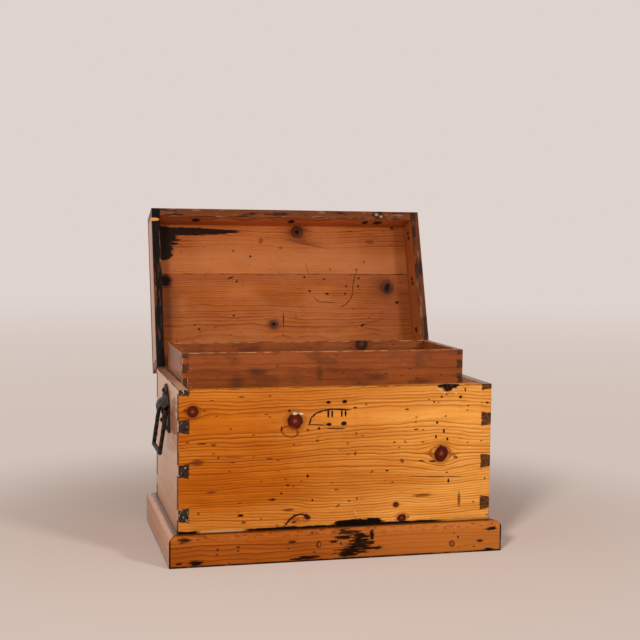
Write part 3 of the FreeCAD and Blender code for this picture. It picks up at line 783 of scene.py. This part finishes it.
# %% Carcase and plinth boards
carcase_tones = (paint(206, 118, 30), paint(182, 92, 14), paint(134, 58, 8), paint(112, 64, 34))
left_end_tones = carcase_tones[:3] + (paint(60, 46, 38),)
plinth_tones = (paint(186, 96, 26), paint(156, 74, 16), paint(118, 50, 10), paint(108, 60, 30))


def plain_board(node, grain, face, seed, tones, knots=(), pith=(0, 60), speck=0.14, inner=None, **growing):
    """A board of one kind of pine, or with other tones on its inner side, beyond a place across its thickness."""
    board = Board(node, grain, face, seed)
    if inner:
        inner_wood, outside, inside = inner
        turn = board.into.ramp(outside, inside)
        tones = [turn.blend(outer, deeper) for outer, deeper in zip(tones, inner_wood)]
    colour, height, late = pine(board, tones, knots, pith, **growing)
    colour = flecked(board, colour, (18, 11, 11), speck, old_stain, 0.7)
    return board, colour, height


def back_board():
    knots = ((150, 250, 0, 9, 8, 0), (-190, 120, 0, 11, 12, 15), (-40, 300, 0, 5, 5, 0))
    board, colour, height = plain_board("back_board", "X", "Z", 5.0, carcase_tones, knots, (190, 240))
    colour = seamed(board, "back_board", colour)
    return varnish(board, rubbed(board, colour, 1.8, grime, 0.85), height)


def faded(board):
    """How much painted sheen a board gets, in soft streaks: the pale room mirrored along its face, painted pale pink
    into its colour.
    """
    return board.cloud((300, 24, 24), 89.0, 3.0).ramp(0.25, 0.75) * 0.4 + 0.32


def end_board(node, seed, tones, knots, pith, chip_share=0.0, bare=()):
    board, colour, height = plain_board(node, "Y", "Z", seed, tones, knots, pith)
    rim = board.up.ramp(board.high[1] - 2.4, board.high[1] - 0.8)
    colour = (rim * (board.cloud((50, 6, 6), 87.0) * 0.5 + 0.7)).blend(colour, paint(34, 19, 12))
    # Painted sheen: the pale room mirrored along the side of the chest, painted pale pink into the colour away from
    # the end grain.
    colour = (faded(board) * (1 - board.end)).blend(colour, paint(240, 184, 138))
    sheen = (1 - board.end) * (1 - rim) * 0.95
    if bare:
        worn = (board.nearest_of(bare, 30) + (board.cloud((60, 9, 9), 97.0, 3.0) - 0.5) * 1.6).ramp(1.1, 0.8)
        colour = (worn * 0.85).blend(colour, paint(148, 78, 36))
        sheen = sheen * (1 - worn * 0.7)
    colour = rubbed(board, colour, 2.4, grime, 0.9, 0.56)
    front_arris = board.along.ramp(board.low[0] + 3.2, board.low[0] + 1.2) * (1 - board.end)
    colour = (front_arris * 0.75).blend(colour, paint(214, 168, 138))
    chips = board.cloud((5, 4, 4), 79.0, 3.0).ramp(0.62, 0.68) * board.end
    colour = (chips * chip_share).blend(colour, paint(204, 192, 180))
    return varnish(board, colour, height, gloss=0.36, coat=sheen)


def plinth_board(node, grain, seed, marks=(), scuffs=(), eyes=()):
    board, colour, height = plain_board(
        node, grain, "Z", seed, plinth_tones, pith=(-30, -330 if "front" in node else 330), speck=0.2, ring=3.8, contrast=1.15
    )
    if grain == "X":
        # Lighter towards the right, as on the front board: partly paler wood, partly painted sheen of the right lamp.
        colour = (board.along.ramp(-150, 260) * 0.5).blend(colour, paint(214, 130, 56))
    else:
        # Painted sheen: the pale room mirrored along the short side of the plinth, painted pale pink into the colour.
        colour = faded(board).blend(colour, paint(240, 170, 118))
    colour = rubbed(board, colour, 3.4, scuffed, 0.18, 0.40, 47.0)
    crown = board.up.ramp(board.high[1] - 18, board.high[1] - 6)
    knocks = board.cloud((12, 6, 6), 91.0, 3.0)
    colour = (crown * knocks.ramp(0.56, 0.64) * 0.5).blend(colour, paint(84, 36, 12))
    colour = (crown * knocks.ramp(0.38, 0.32) * 0.12).blend(colour, scuffed)
    middle = (board.low[0] + board.high[0]) / 2
    half = (board.high[0] - board.low[0]) / 2
    corner = abs(board.along - middle).ramp(half - 4.5, half - 1.5) * board.cloud((9, 14, 9), 93.0).ramp(0.28, 0.42)
    seat = board.up.ramp(board.high[1] - 1.4, board.high[1] - 0.3) * 0.75
    colour = corner.most(seat).blend(colour, soot_and_shade)
    colour = rubbed(board, colour, 2.6, soot_and_shade, 0.95, 0.62)
    foot = board.up.ramp(board.low[1] + 5.0, board.low[1] + 2.0) * board.cloud((40, 9, 9), 85.0).ramp(0.3, 0.45)
    colour = (foot * 0.95).blend(colour, soot_and_shade)
    if scuffs:
        colour = soiled(board, colour, scuffs, grime, 0.9, ragged=0.3)
        colour = soiled(board, colour, eyes, paint(176, 100, 50), 0.9, ragged=0.3)
    if marks:
        colour = soiled(board, colour, marks, soot_and_shade, 0.97, ragged=1.0, soft=0.35)
    return varnish(board, colour, height, gloss=0.46, dull=0.22, coat=0.0 if grain == "X" else 0.95)


def plinth_front():
    face = closed_box("plinth_front")[0].y * 1000
    splashes = (
        (17, 55, 32, 4), (42, 46, 20, 8), (7, 45, 20, 4), (65, 47, 5, 11), (-16, 37, 10, 3), (40, 36, 22, 8),
        (34, 27, 30, 8), (24, 17, 34, 8), (14, 11, 26, 7), (62, 20, 26, 4), (60, 31, 14, 4), (-315, 55, 13, 5), (-293, 9, 14, 6), (-326, 9, 6, 2),
        (-62, 8, 26, 4), (-90, 6, 18, 2.5), (322, 47, 12, 4.5), (316, 1, 14, 6), (-227, 5, 3, 1.6),
        (20, 62, 80, 3.4), (-100, 63, 70, 2.2),
    )
    bruises = (
        (-209, 36, 4, 2), (-209, 29, 3, 1.8), (-108, 28, 2, 2), (-100, 41, 10, 3), (-55, 18, 3, 1.5),
        (-59, 58, 4, 2), (53, 38, 4, 1.6), (81, 22, 5, 1.6), (298, 23, 8, 3.5), (285, 12, 3, 1.6), (241, 42, 2, 2),
        (237, 20, 7, 7), (-46, 33, 5.5, 8),
    )
    marks = [(along, up, face, length, width, 0) for along, up, length, width in splashes]
    scuffs = [(along, up, face, length, width, 0) for along, up, length, width in bruises]
    eyes = [(237, 20, face, 3.6, 3.6, 0), (-45, 33, face, 2.4, 4.4, 0)]
    return plinth_board("plinth_front", "X", 21.0, marks, scuffs, eyes)


print("plinth", closed_box("plinth_front"))

# %% [markdown]
# Inside, the lid was only oiled. It is redder than the front, rubbed pale in places, and something
# black was once spilt in its corner and along its left rim.
# The marks are placed on the boards as they lie when the lid is shut: from the middle of the chest
# and from front to back.

# %% Lid boards and rims
lid_tones = (paint(186, 100, 44), paint(158, 80, 32), paint(112, 46, 16), paint(110, 62, 36))
rim_tones = (paint(130, 66, 30), paint(104, 48, 20), paint(76, 32, 12), paint(94, 50, 26))
inner_tones = (paint(184, 104, 52), paint(152, 78, 36), paint(108, 50, 20), paint(96, 52, 28))
front_inner = (paint(214, 124, 66), paint(182, 96, 46), paint(122, 58, 24), paint(96, 52, 28))
spilt = paint(14, 10, 9)


def lid_marks(ovals, face):
    return [(along, up, face, length, width, lean) for along, up, length, width, lean in ovals]


def lid_board(node, seed, knots, pith):
    under = 1000 * closed_box(node)[0].z
    board, colour, height = plain_board(
        node, "X", "Y", seed, carcase_tones, knots, pith, 0.2, (lid_tones, under + 3, under + 1),
        ring=5.4, contrast=1.1, knot_tones=brown_knot
    )
    colour = flecked(board, colour, (9, 5, 5), 0.3, old_stain, 0.6)
    inside = board.into.ramp(under + 3, under + 1)
    worn = board.cloud((130, 70, 70), 51.0, 3.0).ramp(0.45, 0.68)
    colour = (worn * inside * 0.35).blend(colour, paint(200, 122, 70))
    # Painted shade: the inside of the lid is darker towards its right side.
    colour = (board.along.ramp(60, 290) * inside * 0.34).blend(colour, paint(118, 58, 26))
    return board, colour, height, inside


def lid_board_front():
    under = 1000 * closed_box("lid_board_front")[0].z
    knots = ((34, -153, 0, 13, 13, 0),)
    board, colour, height, inside = lid_board("lid_board_front", 31.0, knots, (-210, 460))
    colour = (board.up.ramp(-118, -84) * inside * 0.36).blend(colour, paint(206, 128, 74))
    halo = lid_marks(((36, -150, 34, 22, 0), (50, -128, 60, 8, 8)), under)
    colour = soiled(board, colour, halo, paint(104, 50, 26), 0.5, soft=0.9)
    brown = lid_marks(
        ((167, -157, 8, 3, 0), (217, -130, 12, 6, 0), (-126, -105, 4, 4, 0), (-57, -131, 5, 9, 10),
         (-10, -113, 4, 4, 0), (111, -59, 3, 3, 0), (197, -78, 3, 4, 40), (177, -59, 4, 5, 60)), under)
    black = lid_marks(
        ((-306, -152, 66, 14, 0), (-240, -152, 90, 10.5, 0), (-190, -152, 62, 8, 0), (-150, -153, 46, 4.6, 0),
         (-292, -140, 34, 24, 0), (-279, -131, 30, 3.8, 0), (-280, -121, 27, 4, 0), (-294, -110, 26, 15, 0), (-292, -94, 22, 15, 0),
         (-85, -91, 3, 3, 0), (276, -166, 5, 3, 0), (34, -153, 6, 6, 0)), under)
    thin = lid_marks(((53, -62, 1, 17, -15), (175, -46, 1.2, 12, 14), (60, -122, 60, 1.2, 12)), under)
    colour = soiled(board, colour, brown, old_stain, 0.6)
    colour = soiled(board, colour, thin, grime, 0.6, ragged=0.3)
    colour = soiled(board, colour, black, spilt, 0.97, ragged=0.4, soft=0.2)
    return varnish(board, rubbed(board, colour, 2.0, grime, 0.7), height, gloss=0.46)


def lid_board_back():
    under = 1000 * closed_box("lid_board_back")[0].z
    knots = ((-37, 76, 0, 9, 9, 0), (252, -15, 0, 14, 16, 20))
    board, colour, height, inside = lid_board("lid_board_back", 37.0, knots, (120, 470))
    colour = (board.up.ramp(-10, -44) * inside * 0.4).blend(colour, paint(160, 88, 56))
    dark = lid_marks(((236, -18, 34, 30, 0), (-37, 76, 22, 15, 0), (-285, 20, 26, 60, 0)), under)
    black = lid_marks(
        ((-292, -30, 20, 17, 0), (-37, 76, 5, 5, 0), (-135, -38, 8, 2.2, -18), (252, -14, 8, 13, 20), (274, 24, 5, 4, 0),
         (-226, 77, 3, 2, -40), (-216, 87, 3.5, 2.6, 0), (-13, 67, 1.4, 20, 3), (-132, 55, 3, 3, 0),
         (181, -37, 3, 3, 0), (178, -17, 3.4, 3, 0), (45, -40, 3, 3, 0), (56, -5, 4, 3, 30), (94, -35, 4, 2, 0),
         (99, 2, 5, 3, 0), (148, -17, 3, 3, 0), (144, 2, 3, 3, 0), (182, 81, 6, 3, -30), (-121, -29, 3, 3, 0)), under)
    curve = strokes(1.4, (172, -44), (165, -20), (164, 0), (155, 18), (142, 30), (130, 35))
    curve += strokes(1.1, (63, 9), (78, 22), (119, 24))
    curve = lid_marks(curve, under)
    leaf = lid_marks(((210, 72, 34, 1.2, -14), (212, 92, 36, 1.2, 12)), under)
    colour = soiled(board, colour, dark, paint(92, 46, 30), 0.5, soft=0.9)
    colour = soiled(board, colour, leaf, old_stain, 0.6, ragged=0.3)
    colour = soiled(board, colour, curve, grime, 0.85, ragged=0.3)
    colour = soiled(board, colour, black, spilt, 0.97, ragged=0.3)
    return varnish(board, rubbed(board, colour, 2.0, grime, 0.7), height, gloss=0.46)


def lid_rim(node, grain, seed, smudges=(), tones=rim_tones):
    low, high = [1000 * part["XYZ".index("Y" if grain == "X" else "X")] for part in closed_box(node)]
    outside, inside = (low + 1, low + 3) if low < 0 else (high - 1, high - 3)
    board, colour, height = plain_board(
        node, grain, "Z", seed, carcase_tones, (), (330, 260), 0.25, (tones, outside, inside), ring=4.2
    )
    edge = board.up.ramp(board.low[1] + 1.6, board.low[1] + 0.3)
    colour = (edge * 0.8).blend(colour, paint(78, 38, 20))
    scuffs = board.cloud((34, 9, 9), 57.0, 3.0).ramp(0.54, 0.66)
    colour = (edge * scuffs * 0.5).blend(colour, paint(176, 116, 90))
    soil = board.cloud((50, 12, 12), 59.0, 3.0).ramp(0.55, 0.63)
    colour = (edge * soil * 0.85).blend(colour, paint(40, 22, 16))
    colour = rubbed(board, colour, 1.6, scuffed, 0.4, 0.44, 61.0)
    colour = rubbed(board, colour, 1.5, soot_and_shade, 0.85, 0.52)
    if smudges:
        colour = soiled(board, colour, smudges, spilt, 0.97, ragged=0.35)
    return board, colour, height


def lid_rim_front():
    low, high = [1000 * part for part in closed_box("lid_rim_front")]
    places = ((-218, 376, 11), (13, 376, 10), (197, 376, 9), (229, 377, 13))
    smudges = [(along, up, high.y, size, 14, 0) for along, up, size in places]
    smudges += [(-316, 355, low.y + 10, 14, 60, 0)]
    board, colour, height = lid_rim("lid_rim_front", "X", 41.0, smudges, front_inner)
    bruise = [(224, low.z, low.y + 10, 16, 5, 0)]
    colour = soiled(board, colour, bruise, soot_and_shade, 0.8, depth=12.0, ragged=0.8)
    chip = [(219, low.z, low.y + 8, 4, 3, 0), (230, low.z, low.y + 13, 4, 3, 0)]
    colour = soiled(board, colour, chip, paint(186, 146, 112), 0.75, depth=3.5, ragged=1.2)
    colour = seamed(board, "lid_rim_front", colour)
    return varnish(board, colour, height, gloss=0.5)


def lid_rim_side(node, seed, places, painted):
    low, high = [1000 * part for part in closed_box(node)]
    inner = high.x if low.x < 0 else low.x
    smudges = [(along, up, inner, 5, 8, 0) for along, up in places]
    board, colour, height = lid_rim(node, "Y", seed, smudges, rim_tones if painted else inner_tones)
    if painted:
        edge = board.up.ramp(low.z + 2.4, low.z + 1.2)
        bare = board.nearest_of(((-160, low.z, low.x + 6, 4, 8, 0),), 12.0).ramp(0.9, 1.1)
        worn = board.cloud((40, 5, 5), 63.0, 3.0).ramp(0.66, 0.56)
        colour = (edge * bare * worn * 0.97).blend(colour, paint(15, 10, 9))
        glimpse = board.nearest_of(((-160, low.z, low.x + 6, 4, 8, 0),), 12.0).ramp(1.1, 0.8)
        colour = glimpse.blend(colour, paint(226, 150, 70))
    outer = (high.x - 1, high.x) if low.x > 0 else (low.x + 1, low.x)
    return varnish(board, colour, height, gloss=0.42, coat=board.into.ramp(*outer) * (1 - board.end) * 0.95)


def lid_rim_back():
    board, colour, height = lid_rim("lid_rim_back", "X", 45.0)
    return varnish(board, seamed(board, "lid_rim_back", colour), height, gloss=0.5)


print("lid finishes", len(lid_tones))

# %% [markdown]
# The tray was stained dark and has been handled more than anything else in the chest.
# Its upper arrises are rubbed back to pale bare wood, and its sides are smoky with old grease.

# %% Tray boards
tray_tones = (paint(162, 84, 38), paint(128, 60, 24), paint(92, 38, 14), paint(100, 60, 38))


def tray_board(node, grain, seed, knots=(), smudges=(), tones=tray_tones):
    board, colour, height = plain_board(
        node, grain, "Z", seed, tones, knots, (300, 300), 0.3, None, ring=2.6,
        contrast=0.6, knot_tones=brown_knot
    )
    smoke = board.cloud((60, 44, 44), 67.0, 3.0).ramp(0.50, 0.66)
    colour = (smoke * 0.4).blend(colour, paint(78, 44, 30))
    if smudges:
        colour = soiled(board, colour, smudges, paint(58, 34, 24), 0.55, soft=0.9)
    fluff = board.cloud((7, 5, 5), 71.0, 2.0).ramp(0.69, 0.74)
    colour = (fluff * 0.2).blend(colour, paint(208, 160, 122))
    return board, rubbed(board, colour, 1.7, paint(210, 158, 108), 0.75, 0.54), height


def tray_long(node, seed, knots, marks):
    face = 1000 * closed_box(node)[0].y
    smudges = [(along, up, face, length, width, 0) for along, up, length, width in marks]
    board, colour, height = tray_board(node, "X", seed, knots, smudges)
    return varnish(board, seamed(board, node, colour, 0.5), height, gloss=0.44)


def tray_short(node, seed):
    board, colour, height = tray_board(node, "Y", seed)
    return varnish(board, colour, height, gloss=0.42, coat=(1 - board.end) * 0.4)


def tray_bottom():
    board, colour, height = plain_board("tray_bottom", "X", "Y", 83.0, tray_tones, pith=(0, 500), contrast=0.5)
    return varnish(board, colour, height, gloss=0.5)


print("tray finishes", len(tray_tones))

# %% [markdown]
# The bottom boards and the runners were never finished. Bare sawn pine goes grey brown and dusty,
# and it is rougher than the planed boards.

# %% Raw boards
raw_tones = (paint(188, 146, 100), paint(160, 118, 76), paint(124, 84, 48), paint(120, 88, 58))


def raw_board(node, grain, face, seed):
    board, colour, height = plain_board(node, grain, face, seed, raw_tones, pith=(0, 90), contrast=0.6)
    dust = board.cloud((80, 50, 50), 73.0, 3.0).ramp(0.42, 0.66)
    colour = (dust * 0.5).blend(colour, paint(138, 112, 88))
    return varnish(board, colour, height, gloss=0.72, level=0.2)


print("raw boards", len(raw_tones))

# %% [markdown]
# The iron was black from the forge and has rusted brown where the blacking has gone.
# Raised edges are painted a dull grey: partly polish from hands, partly painted highlight. The mesh itself tells
# where it bulges, which Blender calls pointiness, so the grey follows the real edges.

# %% Iron
def iron(name, black, grey, rust, rust_share, lump):
    material, place = new_material(name)
    spot = place.shaded(1000)
    ridge_polish_and_highlight = place.node("ShaderNodeNewGeometry", {}, {}, 7).ramp(0.50, 0.60)
    patches = spot.cloud((16, 16, 16), 3.0, 3.0).ramp(0.60 - rust_share, 0.66 - rust_share)
    grain = spot.cloud((2.2, 2.2, 2.2), 9.0, 3.0)
    mottled = spot.cloud((6, 6, 6), 15.0, 3.0).ramp(0.40, 0.64)
    colour = (mottled * 0.35).blend(black, grey)
    colour = (patches * grain.ramp(0.3, 0.7) * 0.8).blend(colour, rust)
    # Raised ridges go grey: partly polish, partly painted highlight.
    colour = (ridge_polish_and_highlight * 0.55).blend(colour, grey)
    bump = grain.node("ShaderNodeBump", {}, {"Strength": 0.7, "Distance": 0.001, "Height": grain * lump + mottled * lump})
    values = {
        "Base Color": colour, "Metallic": (1 - patches) * 0.3, "Roughness": patches * 0.2 + 0.50 - ridge_polish_and_highlight * 0.12,
        "Specular IOR Level": 0.14, "Normal": bump,
    }
    skin = colour.node("ShaderNodeBsdfPrincipled", {}, values)
    skin.node("ShaderNodeOutputMaterial", {}, {"Surface": skin})
    return material


handle_iron = iron("handle_iron", paint(17, 13, 11), paint(84, 70, 61), paint(66, 38, 24), 0.08, 0.6)
hinge_iron = iron("hinge_iron", paint(46, 40, 37), paint(104, 96, 90), paint(98, 60, 38), 0.10, 0.3)
nail_iron = iron("nail_iron", paint(30, 22, 19), paint(84, 70, 62), paint(84, 48, 30), 0.12, 0.3)
print("iron", handle_iron.name, hinge_iron.name, nail_iron.name)

# %% [markdown]
# Every board now gets its own finish, and every piece of iron shares one of three.

# %% Dress every piece
def clad(thing, material):
    thing.data.materials.clear()
    thing.data.materials.append(material)


front_left = 1000 * closed_box("left_end_board")[0].x
finishes = {
    "front_board": front_board(),
    "back_board": back_board(),
    "left_end_board": end_board(
        "left_end_board", 9.0, left_end_tones, ((-90, 140, 0, 8, 8, 0), (110, 250, 0, 10, 9, 10)), (150, -420), 0.9,
        ((-122, 278, front_left, 52, 40, 0),)
    ),
    "right_end_board": end_board(
        "right_end_board", 13.0, carcase_tones, ((60, 110, 0, 10, 9, 0), (-120, 290, 0, 6, 6, 0)), (220, 430)
    ),
    "plinth_front": plinth_front(),
    "plinth_back": plinth_board("plinth_back", "X", 23.0),
    "plinth_left": plinth_board("plinth_left", "Y", 25.0),
    "plinth_right": plinth_board("plinth_right", "Y", 27.0),
    "lid_board_front": lid_board_front(),
    "lid_board_back": lid_board_back(),
    "lid_rim_front": lid_rim_front(),
    "lid_rim_back": lid_rim_back(),
    "lid_rim_left": lid_rim_side("lid_rim_left", 47.0, (), True),
    "lid_rim_right": lid_rim_side(
        "lid_rim_right", 49.0, ((-130, 376), (-143, 378), (-15, 376), (-27, 378), (103, 376), (98, 378)), False
    ),
    "tray_front": tray_long(
        "tray_front", 61.0, (), ((-14, 360, 7, 16), (-150, 366, 22, 10), (110, 352, 26, 9), (-190, 345, 20, 18), (210, 340, 30, 8))
    ),
    "tray_back": tray_long("tray_back", 67.0, ((140, 400, 0, 12, 13, 0),), ((-120, 380, 30, 14), (60, 370, 150, 24))),
    "tray_left": tray_short("tray_left", 71.0),
    "tray_right": tray_short("tray_right", 73.0),
    "tray_bottom": tray_bottom(),
    "left_tray_runner": raw_board("left_tray_runner", "Y", "Z", 91.0),
    "right_tray_runner": raw_board("right_tray_runner", "Y", "Z", 93.0),
}
for index in (1, 2, 3):
    finishes["bottom_board_" + str(index)] = raw_board("bottom_board_" + str(index), "X", "Y", 95.0 + index)

for name, thing in nodes.items():
    if name in finishes:
        clad(thing, finishes[name])
    elif "hinge" in name:
        clad(thing, hinge_iron)
    elif "nails" in name or "brads" in name:
        clad(thing, nail_iron)
    else:
        clad(thing, handle_iron)
for name, thing in boards.items():
    clad(thing, finishes[name])
for thing in castings:
    clad(thing, nail_iron if "nails" in thing.name else handle_iron)
print("finished boards", len(finishes))

# %% [markdown]
# The nail holes of the lock and the worm holes are real pits, and so is the bite in the top edge.
# Paint alone would look flat from the side. Each pit is cut by a small rough ball with a Boolean,
# and the soot on the ball stays behind on the walls of the pit.

# %% Pits
burnt, place = new_material("burnt_pit")
char = place.shaded(1000).cloud((4, 4, 4), 5.0, 3.0).ramp(0.35, 0.7)
values = {"Base Color": char.blend(paint(26, 12, 6), paint(66, 34, 18)), "Roughness": 0.85, "Specular IOR Level": 0.1}
skin = place.node("ShaderNodeBsdfPrincipled", {}, values)
skin.node("ShaderNodeOutputMaterial", {}, {"Surface": skin})


def cut_pits(piece, pits):
    """Pits are given by their middle and their half sizes, all in millimetres."""
    bpy.ops.object.select_all(action="DESELECT")
    bpy.ops.mesh.primitive_ico_sphere_add(subdivisions=2, radius=0.0001, location=(0, 0, -0.5))
    cutter = bpy.context.active_object
    cutter.data.materials.append(burnt)
    bpy.ops.object.mode_set(mode="EDIT")
    bpy.ops.mesh.delete(type="VERT")
    for index, (middle, halves) in enumerate(pits):
        bpy.ops.mesh.select_all(action="DESELECT")
        place = tuple(part / 1000 for part in middle)
        bpy.ops.mesh.primitive_ico_sphere_add(subdivisions=2, radius=0.001, location=place, scale=halves)
        bpy.ops.transform.vertex_random(offset=0.00016 * min(halves), seed=index)
    bpy.ops.object.mode_set(mode="OBJECT")
    finish_with(piece, "BOOLEAN", operation="DIFFERENCE", object=cutter, solver="EXACT", material_mode="TRANSFER")
    alone(piece)
    bpy.ops.object.shade_smooth_by_angle(angle=math.radians(32))
    bpy.data.objects.remove(cutter)


pit_share = 0.8
pits = [
    ((along, front_face, up), tuple(pit_share * part for part in (length, 1.6 * min(length, width), width)))
    for along, up, length, width in holes
]
cut_pits(boards["front_board"], pits)
for pit in (((231, front_face, 345), (8.5, 9, 11)), ((241, front_face, 347), (6, 7, 5))):
    cut_pits(boards["front_board"], [pit])
print("front board", len(boards["front_board"].data.polygons), "faces")

# %% [markdown]
# The last cell sets the scene's view transform to Standard.

# %% Finish
scene = bpy.context.scene
scene.view_settings.view_transform = "Standard"
